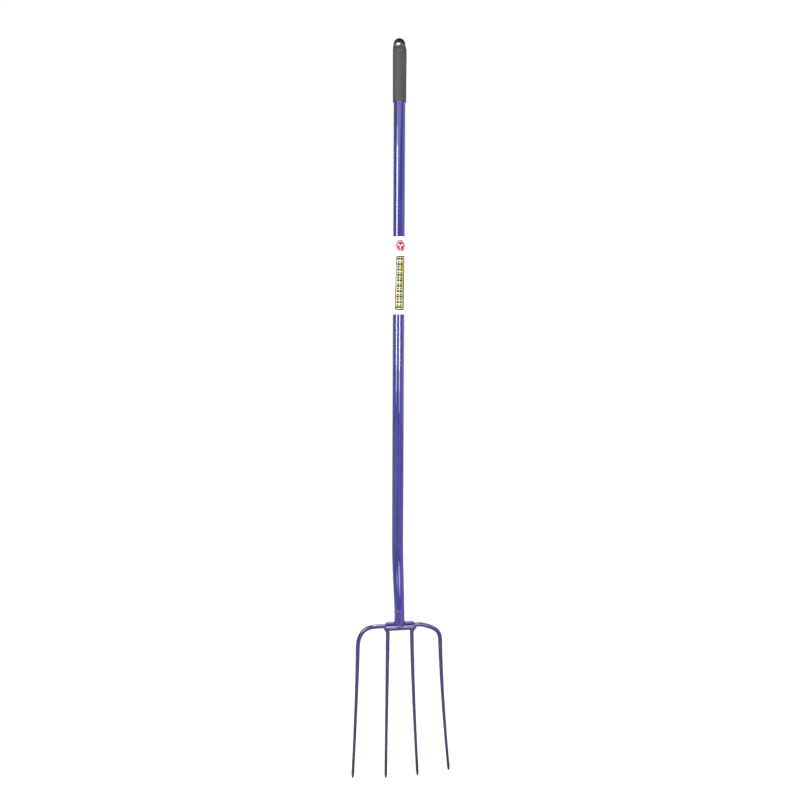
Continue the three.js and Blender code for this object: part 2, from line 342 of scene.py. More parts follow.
class Look(Nodes):
    """A Principled material."""

    def __init__(self, name):
        self.material = bpy.data.materials.new(name)
        self.material.use_nodes = True
        super().__init__(self.material.node_tree)
        self.shader = self.tree.nodes["Principled BSDF"]
        self.place = self.node("ShaderNodeTexCoord").outputs["Object"]

    def set(self, **inputs):
        for key, value in inputs.items():
            self.join(value, self.shader.inputs[key.replace("_", " ")])

    def cloud(self, size, detail=3.0, roughness=0.5, stretch=(1, 1, 1)):
        """Noise between 0 and 1 whose blotches are about size millimetres across."""
        mapping = self.node("ShaderNodeMapping")
        mapping.inputs["Scale"].default_value = [1 / (size * MM * s) for s in stretch]
        self.join(self.place, mapping.inputs["Vector"])
        texture = self.node("ShaderNodeTexNoise")
        self.join(mapping.outputs[0], texture.inputs["Vector"])
        texture.inputs["Scale"].default_value = 1
        texture.inputs["Detail"].default_value = detail
        texture.inputs["Roughness"].default_value = roughness
        return texture.outputs["Fac"]

    def height(self):
        """Height above the tine tips in millimetres."""
        return self.sum("MULTIPLY", self.split(self.place)["Z"], 1 / MM)

    def edges(self, low, high):
        """0 on flat or hollow areas, 1 on sharp outer edges."""
        return self.remap(self.node("ShaderNodeNewGeometry").outputs["Pointiness"], low, high)

    def relief(self, *layers):
        """Stacks bump layers, each (height, depth in millimetres)."""
        previous = None
        for value, depth in layers:
            bump = self.node("ShaderNodeBump")
            bump.inputs["Strength"].default_value = 1
            bump.inputs["Distance"].default_value = depth * MM
            self.join(value, bump.inputs["Height"])
            if previous:
                self.join(previous, bump.inputs["Normal"])
            previous = bump.outputs["Normal"]
        self.join(previous, self.shader.inputs["Normal"])


# ------------------------------------------------------------------ materials
SOOT = (0.006, 0.005, 0.011)
STEEL = (0.30, 0.29, 0.28)
DUST = (0.30, 0.29, 0.30)
SCUFF = (0.10, 0.10, 0.11)
RUBBED_EDGE = (0.12, 0.12, 0.13)
# Dark tints for painted shade on the grip: the hollow shoulder and the rim above the hole.
HOLLOW_SHADE_TINT = (0.014, 0.014, 0.016)
PAINTED_RIM_SHADE_TINT = (0.005, 0.005, 0.006)

# Heights above the tine tips where wear sets in and is complete.
WORN_ZONE = (350, 130)
SOOT_ZONE = (75, 25)
SCRAPED_ZONE = (30, 20)


def enamel(name, colour, deep, gloss, coat, dust, peel, worn=None):
    """Sprayed purple-blue enamel: orange peel, faint streaks, dust, and a few small chips.

    deep is the colour where the coat is thick, gloss the roughness, peel the depth of the
    orange peel in millimetres; worn is the greyer colour of tines that have been in soil.
    """
    look = Look(name)
    streaks = look.cloud(9, detail=4, stretch=(1, 1, 14))
    tint = look.blend(look.remap(streaks, 0.35, 0.65), deep, colour)
    tint = look.blend(look.remap(look.cloud(60), 0.4, 0.75, 0, 0.35), tint, deep)
    dusty = look.sum("MULTIPLY", look.remap(look.cloud(22, detail=8, roughness=0.7), 0.45, 0.8), dust)
    tint = look.blend(dusty, tint, DUST)

    chips = look.remap(look.cloud(2.2, detail=2), 0.735, 0.75)
    chips = look.sum("MULTIPLY", chips, look.remap(look.cloud(45, detail=1), 0.52, 0.56))
    bare = chips
    if worn:
        height = look.sum("ADD", look.height(), look.sum("MULTIPLY", look.cloud(6, detail=5), 30))
        tint = look.blend(look.remap(height, *WORN_ZONE, 0, 0.85), tint, worn)
        tint = look.blend(look.remap(height, *SOOT_ZONE), tint, SOOT)
        scraped = look.remap(look.cloud(1.5, detail=3, stretch=(1, 1, 5)), 0.60, 0.66, 0, 0.5)
        bare = look.sum("MAXIMUM", chips, look.sum("MULTIPLY", scraped, look.remap(height, *SCRAPED_ZONE)))
    bare = look.sum("MAXIMUM", bare, look.sum("MULTIPLY", look.edges(0.56, 0.62), 0.2))
    tint = look.blend(bare, tint, STEEL)

    haze = look.remap(look.cloud(30, detail=6), 0.3, 0.8, gloss, gloss + 0.12)
    look.set(
        Base_Color=tint,
        Metallic=look.sum("MULTIPLY", bare, 0.8),
        Roughness=look.sum("MAXIMUM", haze, look.sum("MULTIPLY", dusty, 0.8)),
        Specular_IOR_Level=0.15,
        Coat_Weight=look.remap(bare, 0, 0.5, coat, 0.0),
        Coat_Roughness=look.remap(look.cloud(14, detail=4), 0.3, 0.7, gloss * 0.2, gloss * 0.4),
    )
    look.relief(
        (look.cloud(1.6, detail=1), peel),
        (look.cloud(9, detail=1, stretch=(1, 1, 6)), 3 * peel),
        (look.sum("SUBTRACT", 1, chips), 0.05),
    )
    return look.material


def grip_vinyl():
    """Matte dark grey moulded vinyl with fine grain and light scuffs, painted shade in the hollow at the
    foot of the tab, and painted dark shade on the rim above and right of the hole."""
    look = Look("grip_vinyl")
    tint = look.blend(look.cloud(16, detail=6), (0.030, 0.031, 0.035), (0.043, 0.044, 0.049))
    scuffs = look.remap(look.cloud(3.5, detail=5, roughness=0.65, stretch=(1, 1, 3)), 0.62, 0.75, 0, 0.35)
    tint = look.blend(scuffs, tint, SCUFF)
    tint = look.blend(look.sum("MULTIPLY", look.edges(0.52, 0.58), 0.2), tint, RUBBED_EDGE)
    # Painted shade: a ragged dark crescent on the tab's rim, above and right of the hole.
    rightward = look.sum("MULTIPLY", look.split(look.place)["X"], 0.62 / MM)
    above_hole = look.sum("SUBTRACT", look.height(), grip_high.z - GRIP_HOLE_DOWN)
    corner = look.sum("ADD", rightward, look.sum("MULTIPLY", above_hole, 0.78))
    ragged = look.sum("ADD", corner, look.sum("MULTIPLY", look.cloud(4, detail=4), 3))
    painted_rim_shade = look.remap(ragged, 2.5, 4.5, 0, 0.95)
    tint = look.blend(painted_rim_shade, tint, PAINTED_RIM_SHADE_TINT)
    # Painted shade: a darker band round the hollow shoulder at the foot of the tab.
    hollow = grip_high.z - GRIP_SHOULDER_DOWN + 1
    painted_hollow_shade = look.remap(look.sum("ABSOLUTE", look.sum("SUBTRACT", look.height(), hollow)), 6, 3)
    tint = look.blend(look.sum("MULTIPLY", painted_hollow_shade, 0.28), tint, HOLLOW_SHADE_TINT)
    look.set(
        Base_Color=tint,
        Roughness=look.remap(look.cloud(12, detail=5), 0.3, 0.7, 0.46, 0.62),
        # Both painted shades on the grip also lose most of their shine.
        Specular_IOR_Level=look.remap(look.sum("MAXIMUM", painted_rim_shade, painted_hollow_shade), 0, 1, 0.2, 0.03),
    )
    look.relief((look.cloud(0.5, detail=2), 0.035), (look.cloud(5, detail=3), 0.06))
    return look.material


def printed_vinyl(name, colour, fade, roughness=0.32):
    """Label stock or ink on it: slightly uneven colour, satin face, fine creases."""
    look = Look(name)
    tint = look.blend(look.remap(look.cloud(12, detail=6), 0.35, 0.75), colour, fade)
    specks = look.remap(look.cloud(0.9, detail=3), 0.70, 0.76, 0, 0.5)
    look.set(
        Base_Color=look.blend(specks, tint, fade),
        Roughness=look.remap(look.cloud(8, detail=4), 0.3, 0.7, roughness, roughness + 0.15),
        Specular_IOR_Level=0.35,
        Coat_Weight=0.05,
        Coat_Roughness=0.3,
    )
    look.relief((look.cloud(9, detail=2, stretch=(1, 1, 4)), 0.03), (look.cloud(0.8), 0.006))
    return look.material


shaft_enamel = enamel(
    "shaft_enamel", (0.029, 0.026, 0.143), (0.022, 0.019, 0.112),
    gloss=0.12, coat=1.0, dust=0.03, peel=0.0025)
head_enamel = enamel(
    "head_enamel", (0.036, 0.030, 0.165), (0.024, 0.019, 0.115),
    gloss=0.20, coat=1.0, dust=0.06, peel=0.006)
tine_enamel = enamel(
    "tine_enamel", (0.024, 0.019, 0.108), (0.016, 0.013, 0.073),
    gloss=0.22, coat=0.8, dust=0.06, peel=0.006, worn=(0.018, 0.014, 0.038))
grip_material = grip_vinyl()
label_stock = printed_vinyl("label_stock", (0.78, 0.77, 0.80), (0.70, 0.69, 0.72))
ink_navy = printed_vinyl("ink_navy", (0.008, 0.010, 0.045), (0.016, 0.018, 0.06), 0.42)
ink_yellow = printed_vinyl("ink_yellow", (0.44, 0.415, 0.13), (0.49, 0.46, 0.19), 0.42)
# Olive for the painted shade down the right edge of the label panel.
olive_painted_shade = printed_vinyl("olive_painted_shade", (0.20, 0.21, 0.07), (0.26, 0.26, 0.11), 0.42)
ink_red = printed_vinyl("ink_red", (0.27, 0.016, 0.023), (0.31, 0.027, 0.031), 0.42)
ink_maroon = printed_vinyl("ink_maroon", (0.050, 0.018, 0.026), (0.07, 0.03, 0.04), 0.42)


# ------------------------------------------------------------------ shaft and neck
def neck_y(height):
    """Depth of the shaft's centreline: straight above, an S bend forward at the crossbars."""
    return AXIS_Y - NECK_FORWARD * (1 - ease(share(height, BAR_Z, BEND_TOP_Z)))


def bent(point):
    """Moves a point of a straight upright body onto the neck line, sections square to it."""
    slope = neck_y(point.z + 0.5) - neck_y(point.z - 0.5)
    lean = math.atan(slope)
    return Vector((
        point.x,
        neck_y(point.z) + point.y * math.cos(lean),
        point.z - point.y * math.sin(lean),
    ))


def tube_radius(height):
    """Swaged end, then full tube, with the faint unevenness swaging leaves."""
    closed = (1 - share(height, MOUTH_Z, SWAGE_TOP_Z)) ** SWAGE_POWER
    hammered = 0.06 * wobble(height * 0.045) * closed
    return mix(TUBE_RADIUS, MOUTH_RADIUS, closed) + hammered


def build_shaft():
    lip = 0.5
    heights = spread(MOUTH_Z + lip, BEND_TOP_Z, 90) + spread(BEND_TOP_Z + 20, tube_high.z, 36)
    outside = [(tube_radius(z), z) for z in heights]
    inside = [(tube_radius(z) - TUBE_WALL, z) for z in reversed(heights)]
    mouth = [
        (tube_radius(MOUTH_Z) - TUBE_WALL + lip, MOUTH_Z),
        (tube_radius(MOUTH_Z) - lip, MOUTH_Z),
    ]
    obj = skin("shaft_tube_fine", turned(outside + inside + mouth, 72, bent), loop=True)
    return finished(obj, shaft_enamel, "enamel", "shaft_tube")


def build_neck():
    """Forged neck whose foot flares sideways and flows over both bars."""
    shoulder = MOUTH_Z - GAP
    profile = []
    for t in spread(0, 1, 26):
        height = mix(FOOT_Z, shoulder - 0.4, t)
        profile.append((mix(MOUTH_RADIUS, FOOT_RADIUS, (1 - t) ** 2), height))
    profile.append((MOUTH_RADIUS - 0.5, shoulder))
    spigot = MOUTH_RADIUS - TUBE_WALL - GAP
    profile += [(spigot, shoulder)] + [(spigot, z) for z in spread(MOUTH_Z + 2, SPIGOT_TOP_Z - 1, 8)]
    profile += [(spigot - 0.8, SPIGOT_TOP_Z)]

    def place(point):
        point.y *= mix(FOOT_HALF_DEPTH / FOOT_RADIUS, 1, share(point.z, FOOT_Z, shoulder))
        return bent(point)

    obj = skin("neck_forging", turned(profile, 72, place))
    return finished(obj, head_enamel, "enamel", "neck_tang")


# ------------------------------------------------------------------ tines
def dish(drop):
    """How far a tine has curved forward, which is towards -y."""
    t = drop / BAR_Z
    return -TINE_FORWARD * (0.4 * t + 0.6 * t * t)


def outer_tine_point(drop, hand):
    """Centre of an outer tine, drop below the crossbar; hand is -1 for the left and 1 for the right."""
    spread_share = share(drop, 0, BAR_Z) ** OUTER_SPREAD_POWER
    sideways = mix(OUTER_SHOULDER_HALF, OUTER_TIP_HALF, spread_share)
    return Vector((hand * sideways, OUTER_Y + dish(drop), BAR_Z - drop))


def inner_tine_point(drop, hand):
    spread_share = share(drop, 0, BAR_Z) ** INNER_SPREAD_POWER
    sideways = mix(INNER_SHOULDER_HALF, INNER_TIP_HALF, spread_share)
    return Vector((hand * sideways, INNER_Y + dish(drop), BAR_Z - drop))


def tine_radius(stock, distance):
    """Short point, slow taper, and slight forging unevenness."""
    point = mix(TIP_FLAT / END_STOCK, 1, math.sqrt(share(distance, 0, TIP_TAPER)))
    lower = (MID_STOCK - END_STOCK) * share(distance, TIP_TAPER, BAR_Z / 2)
    upper = (stock - MID_STOCK) * share(distance, BAR_Z / 2, BAR_Z - 40)
    return point * (END_STOCK + lower + upper)


def forged(distance, angle, seed):
    """Low, long hammer marks on the drawn-out stock."""
    return 0.10 * wobble(distance * 0.06, math.cos(angle) + seed, math.sin(angle))


def outer_half(hand):
    """One half of the outer bar's centreline, from its tip over the shoulder to the straight."""
    across_power, down_power = SHOULDER_POWERS[hand]
    tip_drop = BAR_Z - TIP_FLAT * 0.25
    points = [outer_tine_point(drop, hand) for drop in spread(tip_drop, SHOULDER_DEPTH, 16)[:-1]]
    for angle in spread(math.pi / 2, 0, 14):
        fall = 1 - math.cos(angle)
        across = (1 - (1 - fall) ** down_power) ** (1 / across_power)
        point = outer_tine_point(SHOULDER_DEPTH * fall, hand)
        point.x = mix(hand * STRAIGHT_HALF, point.x, across)
        points.append(point)
    return points


def build_outer_bar():
    straight = [Vector((x, OUTER_Y, BAR_Z)) for x in spread(-STRAIGHT_HALF, STRAIGHT_HALF, 10)[1:-1]]
    points = outer_half(-1) + straight + outer_half(1)[::-1]

    def radius_at(distance, length, angle):
        from_tip = min(distance, length - distance)
        hammered = forged(distance, angle, 3.0) * share(from_tip, 0, POINT_LENGTH)
        return tine_radius(OUTER_STOCK, from_tip) + hammered

    obj = skin("outer_tine_bar_fine", sweep(smoothed_line(points, 1.5), radius_at, 40))
    return finished(obj, tine_enamel, "enamel", "outer_tine_bar")


def inner_tine(hand):
    drops = spread(BAR_Z - TIP_FLAT * 0.25, 0, 20)
    points = [inner_tine_point(drop, hand) for drop in drops]

    def radius_at(distance, length, angle):
        hammered = forged(distance, angle, 7.0 + hand) * share(distance, 0, POINT_LENGTH)
        return tine_radius(INNER_STOCK, distance) + hammered

    return skin("inner_tine", sweep(smoothed_line(points, 1.5), radius_at, 32))


def plate(name, outline, half_thickness, place):
    """A flat closed prism: the outline is (across, up) pairs, counterclockwise seen from the front."""
    count = len(outline)
    front = [place(Vector((x, -half_thickness, z))) for x, z in outline]
    rear = [place(Vector((x, half_thickness, z))) for x, z in outline]
    faces = [tuple(range(count)), tuple(range(2 * count - 1, count - 1, -1))]
    for i in range(count):
        k = (i + 1) % count
        faces.append((i, count + i, count + k, k))
    return mesh_object(name, front + rear, faces)


def corner_web(hand):
    """Forged corner where the inner tine leaves the crossbar's end."""
    inside = INNER_SHOULDER_HALF - INNER_STOCK
    outside = INNER_SHOULDER_HALF + INNER_STOCK
    reach = WEB_LEFT_REACH if hand < 0 else WEB_RIGHT_REACH
    top = INNER_STOCK * 0.7
    outline = [
        (inside, top), (inside + 1.4, -WEB_DEPTH), (outside - 0.6, -WEB_DEPTH),
        (reach, -INNER_STOCK * 0.4), (reach - 2.5, top),
    ]
    if hand < 0:
        outline = [(-x, z) for x, z in reversed(outline)]

    def place(point):
        return Vector((point.x, INNER_Y + point.y, BAR_Z + point.z))

    return plate("corner_web", outline, WEB_HALF_THICKNESS, place)


def build_inner_bar():
    round_end = FRONT_BAR_RADIUS * 0.7
    height = BAR_Z - FRONT_BAR_DROP

    def radius_at(distance, length, angle):
        end = math.sqrt(share(min(distance, length - distance), 0, round_end))
        return FRONT_BAR_RADIUS * mix(0.6, 1, end) + forged(distance, angle, 11.0)

    centres = [Vector((x, FRONT_BAR_Y, height)) for x in spread(-FRONT_BAR_HALF, FRONT_BAR_HALF, 74)]
    obj = skin("inner_tine_bar_fine", sweep(centres, radius_at, 36))
    for hand in (-1, 1):
        combined(obj, "UNION", inner_tine(hand))
        combined(obj, "UNION", corner_web(hand))
    softened(obj, 0.6, 12)
    return finished(obj, tine_enamel, "enamel", "inner_tine_bar")


# ------------------------------------------------------------------ weld beads
RIPPLE = 2.3  # spacing of the solidified waves in a bead
TOP_BEAD_RADIUS = 4.9
TOP_BEAD_RISE = 7.6  # above the bars' centreline
TOP_BEAD_START = 10
TOP_BEAD_ENDS = {-1: 35, 1: 37}  # outer end by side
TOP_BEAD_FADE = 9
UNDER_BEAD_RADIUS = 3.4
UNDER_BEAD_DROP = 4.8
UNDER_BEAD_START = 4
UNDER_BEAD_END = 20
UNDER_BEAD_FADE = 4
NECK_BEAD_RADIUS = 2.6
NECK_BEAD_HALF_ANGLE = 58
NECK_BEAD_FADE = 5
COLLAR_THICKNESS = 0.35
COLLAR_HALF_HEIGHT = 2.6


def bead(name, centres, radius, node, ends, seed=0.0):
    """A weld bead of low uneven ripples half filled with paint, drawn out thin at both ends."""
    def radius_at(distance, length, angle):
        end = ease(math.sqrt(share(min(distance, length - distance), 0, ends)))
        place = distance + 0.9 * wobble(distance * 0.35 + seed * 7)
        wave = 1 - abs(math.sin(math.pi * (place / RIPPLE + 0.22 * math.cos(angle * 2) + seed)))
        lumps = 0.10 * wobble(distance * 0.22 + seed * 10, math.cos(angle), math.sin(angle))
        return radius * mix(0.25, 1, end) * (0.97 - 0.07 * wave ** 2 + lumps)

    rings = sweep(smoothed_line(centres, 0.35), radius_at, 32)
    return finished(skin(name, rings), head_enamel, "enamel", node)


def build_bar_welds():
    """Beads between the bars either side of the neck, and shorter ones under the bars."""
    for side, hand in (("left", -1), ("right", 1)):
        far = TOP_BEAD_ENDS[hand]
        top = []
        for x in spread(TOP_BEAD_START, far, 9):
            sag = 1.6 * share(x, far - 8, far) + 0.3 * wobble(x * 0.3, hand)
            top.append(Vector((hand * x, JOINT_Y, BAR_Z + TOP_BEAD_RISE - sag)))
        bead(f"weld_bead_top_{side}", top, TOP_BEAD_RADIUS, f"weld_top_{side}", TOP_BEAD_FADE,
             seed=0.3 * hand)
        under = []
        for x in spread(UNDER_BEAD_START, UNDER_BEAD_END, 4):
            under.append(Vector((hand * x, JOINT_Y, BAR_Z - UNDER_BEAD_DROP)))
        bead(f"weld_bead_under_{side}", under, UNDER_BEAD_RADIUS, f"weld_under_{side}", UNDER_BEAD_FADE,
             seed=0.2 * hand)


def build_neck_welds():
    """Beads round the front and the back of the neck's foot."""
    for word, side in (("front", -1), ("back", 1)):
        arc = []
        for angle in spread(-NECK_BEAD_HALF_ANGLE, NECK_BEAD_HALF_ANGLE, 12):
            turn = math.radians(angle)
            arc.append(Vector((
                FOOT_RADIUS * math.sin(turn),
                JOINT_Y + side * FOOT_HALF_DEPTH * math.cos(turn),
                FOOT_Z,
            )))
        bead(f"weld_bead_neck_{word}", arc, NECK_BEAD_RADIUS, f"weld_neck_{word}", NECK_BEAD_FADE,
             seed=0.7 * side)


def collar_point(turn, bearing):
    """A point of the collar: turn goes over its rounded face, bearing goes round the tube."""
    ripples = 0.05 * abs(math.sin(bearing * 18))
    lumps = 0.12 * wobble(3 * math.cos(bearing), 3 * math.sin(bearing))
    radius = MOUTH_RADIUS + 0.05 + (COLLAR_THICKNESS + ripples + lumps) * math.cos(turn)
    uneven = 0.25 * wobble(2 * math.cos(bearing), 5)
    height = MOUTH_Z + COLLAR_HALF_HEIGHT * math.sin(turn) + uneven
    return bent(Vector((radius * math.cos(bearing), radius * math.sin(bearing), height)))


def build_collar_weld():
    """Low, dressed ring of weld round the tube mouth."""
    sides = 96
    rings = []
    for turn in spread(-math.pi / 2, math.pi / 2, 10):
        rings.append([collar_point(turn, 2 * math.pi * j / sides) for j in range(sides)])
    obj = skin("weld_bead_collar", rings, loop=True)
    return finished(obj, head_enamel, "enamel", "weld_tube_collar")


# ------------------------------------------------------------------ grip
def grip_place(point):
    """From the grip's own frame, top at height 0 and tab to the front, to its place on the shaft."""
    turned_point = Matrix.Rotation(GRIP_TWIST, 3, "Z") @ point
    return turned_point + Vector((0, AXIS_Y, grip_high.z))


def grip_front_outline():
    """Straight sides, a slight shoulder and a round top, a little off the middle."""
    wide = GRIP_RADIUS + 1
    foot_flare = 0.9
    half = GRIP_TAB_RADIUS + foot_flare
    right = [
        (wide, -GRIP_LENGTH - 1), (wide, -GRIP_SHOULDER_DOWN - 6), (GRIP_RADIUS, -GRIP_SHOULDER_DOWN),
        (GRIP_TAB_OFFSET + half, -GRIP_TAB_FOOT_DOWN),
    ]
    arc = []
    for angle in spread(0, math.pi, 32):
        x = GRIP_TAB_OFFSET + GRIP_TAB_RADIUS * math.cos(angle)
        arc.append((x, GRIP_TAB_TOP + GRIP_TAB_RADIUS * (math.sin(angle) - 1)))
    left = [
        (GRIP_TAB_OFFSET - half, -GRIP_TAB_FOOT_DOWN), (-GRIP_RADIUS, -GRIP_SHOULDER_DOWN),
        (-wide, -GRIP_SHOULDER_DOWN - 6), (-wide, -GRIP_LENGTH - 1),
    ]
    return right + arc + left


def grip_side_outline():
    """Full depth below, a hollow shoulder, then the tab."""
    full = GRIP_RADIUS + 1
    hollow_low = -GRIP_SHOULDER_DOWN - 5
    a = Vector((full, hollow_low))
    b = Vector((GRIP_TAB_HALF, hollow_low + 3))
    c = Vector((GRIP_TAB_HALF, -GRIP_TAB_FOOT_DOWN))
    shoulder = [tuple(a.lerp(b, t).lerp(b.lerp(c, t), t)) for t in spread(0, 1, 10)]
    right = [(full, -GRIP_LENGTH - 1)] + shoulder + [(GRIP_TAB_HALF, 1)]
    return right + [(-x, z) for x, z in reversed(right)]


def build_grip():
    half_width = GRIP_RADIUS + 2
    body = [
        (GRIP_LOW_RADIUS - 0.8, -GRIP_LENGTH), (GRIP_LOW_RADIUS, -GRIP_LENGTH + 0.8),
        (GRIP_LOW_RADIUS, -GRIP_LENGTH + 6), (GRIP_RADIUS, -GRIP_SHOULDER_DOWN), (GRIP_RADIUS, 1),
    ]
    obj = skin("grip_sleeve_fine", turned(body, 96, grip_place))
    combined(obj, "INTERSECT", plate("front", grip_front_outline(), half_width, grip_place))
    quarter = Matrix.Rotation(math.pi / 2, 3, "Z")
    side = plate("side", grip_side_outline(), half_width, lambda p: grip_place(quarter @ p))
    combined(obj, "INTERSECT", side)
    bore = [(TUBE_RADIUS + 0.2, -GRIP_LENGTH - 5), (TUBE_RADIUS + 0.2, tube_high.z + GAP - grip_high.z)]
    combined(obj, "DIFFERENCE", skin("bore", turned(bore, 96, grip_place)))
    lying = Matrix.Rotation(math.pi / 2, 3, "X")
    hole = [(GRIP_HOLE_RADIUS, -half_width), (GRIP_HOLE_RADIUS, half_width)]
    middle = Vector((GRIP_HOLE_OFFSET, 0, -GRIP_HOLE_DOWN))
    combined(obj, "DIFFERENCE", skin("hole", turned(hole, 48, lambda p: grip_place(lying @ p + middle))))
    softened(obj, 0.6, 6)
    pillowed(obj, grip_high.z - GRIP_SHOULDER_DOWN - 8, grip_high.z - GRIP_TAB_FOOT_DOWN, 40)
    return finished(obj, grip_material, "vinyl_grip", "grip_sleeve")


# ------------------------------------------------------------------ label
BADGE_AZIMUTH = math.radians(7.7)
BADGE_Z = label_high.z - 21.5
BADGE_RADIUS = 13.3
BADGE_RIM = 2.3
BADGE_RING = 0.7
PANEL_TOP_Z = label_high.z - 44.5
PANEL_LOW_Z = label_low.z + 9.5
PANEL_HALF_WIDTH = 12
PANEL_TOP_AZIMUTH = math.radians(11.6)
PANEL_LOW_AZIMUTH = math.radians(1.1)
INK_THICKNESS = 0.03


def wrapped(across, height, lift):
    """A point of the flat label, given across its width and by height, laid on the shaft."""
    azimuth = across / LABEL_RADIUS
    radius = LABEL_RADIUS + lift
    return Vector((radius * math.sin(azimuth), AXIS_Y - radius * math.cos(azimuth), height))


def build_label():
    """Vinyl sheet with a slightly lifted, uneven seam at the back."""
    inner = TUBE_RADIUS + 0.05
    rings = []
    for azimuth in spread(-LABEL_HALF_WRAP, LABEL_HALF_WRAP, 110):
        lifted = 0.5 * share(abs(azimuth), LABEL_HALF_WRAP - 0.08, LABEL_HALF_WRAP) ** 2
        ring = []
        heights = spread(label_low.z, label_high.z, 60)
        turn = azimuth + LABEL_TWIST
        for side, row in ((LABEL_RADIUS, heights), (inner, reversed(heights))):
            for height in row:
                lift = lifted * (0.6 + 0.4 * wobble(height * 0.05, azimuth))
                radius = side + lift
                ring.append(Vector((radius * math.sin(turn), AXIS_Y - radius * math.cos(turn), height)))
        rings.append(ring)
    obj = skin("label_sheet", rings)
    return finished(obj, label_stock, "vinyl_label", "label_wrap")


def decal(name, outlines, lift, material):
    """Thin ink shapes on the label: closed outlines of (across, height), filled between each other.

    A later ink has a larger lift, so that it lies on the one before it.
    """
    flat = bmesh.new()
    for outline in outlines:
        corners = [flat.verts.new((x, 0, z)) for x, z in outline]
        for a, b in zip(corners, corners[1:] + corners[:1]):
            flat.edges.new((a, b))
    bmesh.ops.triangle_fill(flat, use_beauty=True, use_dissolve=False, edges=flat.edges[:])
    widest = max(abs(x) for outline in outlines for x, _ in outline)
    step = 1.0
    clear_of_corners = 0.013
    for i in range(-math.ceil(widest / step), math.ceil(widest / step) + 1):
        bmesh.ops.bisect_plane(
            flat, geom=flat.verts[:] + flat.edges[:] + flat.faces[:],
            plane_co=(i * step + clear_of_corners, 0, 0), plane_no=(1, 0, 0))
    for vertex in flat.verts:
        vertex.co = wrapped(vertex.co.x, vertex.co.z, lift) * MM
    bmesh.ops.recalc_face_normals(flat, faces=flat.faces[:])
    mesh = bpy.data.meshes.new(name)
    flat.to_mesh(mesh)
    flat.free()
    middle = Vector((0, AXIS_Y, 0)) * MM
    outward = sum((p.normal.dot((p.center - middle) * Vector((1, 1, 0))) for p in mesh.polygons))
    if outward < 0:
        mesh.flip_normals()
    obj = bpy.data.objects.new(name, mesh)
    bpy.context.collection.objects.link(obj)
    thick = obj.modifiers.new("ink", "SOLIDIFY")
    thick.thickness = INK_THICKNESS * MM
    thick.offset = -1
    baked(obj)
    obj.data.set_sharp_from_angle(angle=math.radians(50))
    return finished(obj, material, "vinyl_label")


def circle(across, height, radius, count=40):
    return [
        (across + radius * math.cos(a), height + radius * math.sin(a))
        for a in spread(0, 2 * math.pi, count)[:-1]
    ]


def rounded_box(low, high, half_width, corner, middle):
    """Rounded rectangle from height low to high; middle(height) gives its centreline across."""
    points = []
    top = high - corner
    bottom = low + corner
    for hand, height, start in ((1, top, 0), (-1, top, 90), (-1, bottom, 180), (1, bottom, 270)):
        for angle in spread(start, start + 90, 6):
            turn = math.radians(angle)
            z = height + corner * math.sin(turn)
            points.append((middle(z) + hand * (half_width - corner) + corner * math.cos(turn), z))
    return points


def panel_middle(height):
    azimuth = mix(PANEL_LOW_AZIMUTH, PANEL_TOP_AZIMUTH, share(height, PANEL_LOW_Z, PANEL_TOP_Z))
    return azimuth * LABEL_RADIUS


def shape_at(height, across, points):
    return [(panel_middle(height + z) + across + x, height + z) for x, z in points]


def build_panel():
    """Tall rounded panel: navy border, yellow field, two columns of plain marks, and an olive strip of
    painted shade down the right edge.
    """
    border = 3.0
    frame_outer = rounded_box(PANEL_LOW_Z, PANEL_TOP_Z, PANEL_HALF_WIDTH, 5, panel_middle)
    frame_inner = rounded_box(
        PANEL_LOW_Z + border, PANEL_TOP_Z - border, PANEL_HALF_WIDTH - border, 3, panel_middle)
    decal("label_panel_field", [frame_inner], 0.04, ink_yellow)
    decal("label_panel_border", [frame_outer, frame_inner], 0.05, ink_navy)

    # Painted shade: an olive strip inside the border along the field's right edge.
    shade = 1.7

    def shade_middle(height):
        return panel_middle(height) + PANEL_HALF_WIDTH - border - shade

    low, high = PANEL_LOW_Z + border + 1, PANEL_TOP_Z - border - 1
    decal("label_panel_shade", [rounded_box(low, high, shade, 1.2, shade_middle)], 0.07, olive_painted_shade)

    marks = []
    rows = 19
    pitch = (high - low) / rows
    for i in range(rows):
        middle = high - pitch * (i + 0.5)
        tall = pitch * (0.42 + 0.06 * wobble(i * 1.7))
        for across, half in ((-4.9, 3.3 + 0.5 * wobble(i * 2.3)), (2.3, 3.0 + 0.6 * wobble(i * 1.1, 4))):
            if i % 4 == 3:
                mark = circle(0, 0, tall, 16)
            elif i % 4 == 1:
                mark = [(-half, -tall), (half, -tall), (0, tall)]
            else:
                mark = [(-half, -tall), (half, -tall), (half, tall), (-half, tall)]
            marks.append(shape_at(middle, across, mark))
    decal("label_panel_marks", marks, 0.07, ink_navy)


def build_badge():
    """Round badge: dark rim, white ring, red disc with a plain sprout mark."""
    middle = BADGE_AZIMUTH * LABEL_RADIUS
    rim = [circle(middle, BADGE_Z, radius) for radius in (BADGE_RADIUS, BADGE_RADIUS - BADGE_RIM)]
    decal("label_badge_rim", rim, 0.05, ink_maroon)
    disc = circle(middle, BADGE_Z, BADGE_RADIUS - BADGE_RIM - BADGE_RING)
    decal("label_badge_disc", [disc], 0.05, ink_red)

    reach = 6
    rise = 3.2
    leaves = []
    for hand in (-1, 1):
        upper = [(t * reach, t * rise + 3 * math.sin(math.pi * t) ** 0.8) for t in spread(0, 1, 8)]
        lower = [(t * reach, t * rise) for t in reversed(spread(0, 1, 8)[1:-1])]
        leaves.append([(middle + hand * (x + 0.5), BADGE_Z - 1 + z) for x, z in upper + lower])
    left, right = middle - 0.8, middle + 0.8
    low, high = BADGE_Z - 6, BADGE_Z + 0.5
    stem = [(left, low), (right, low), (right, high), (left, high)]
    decal("label_badge_mark", leaves + [stem], 0.09, label_stock)


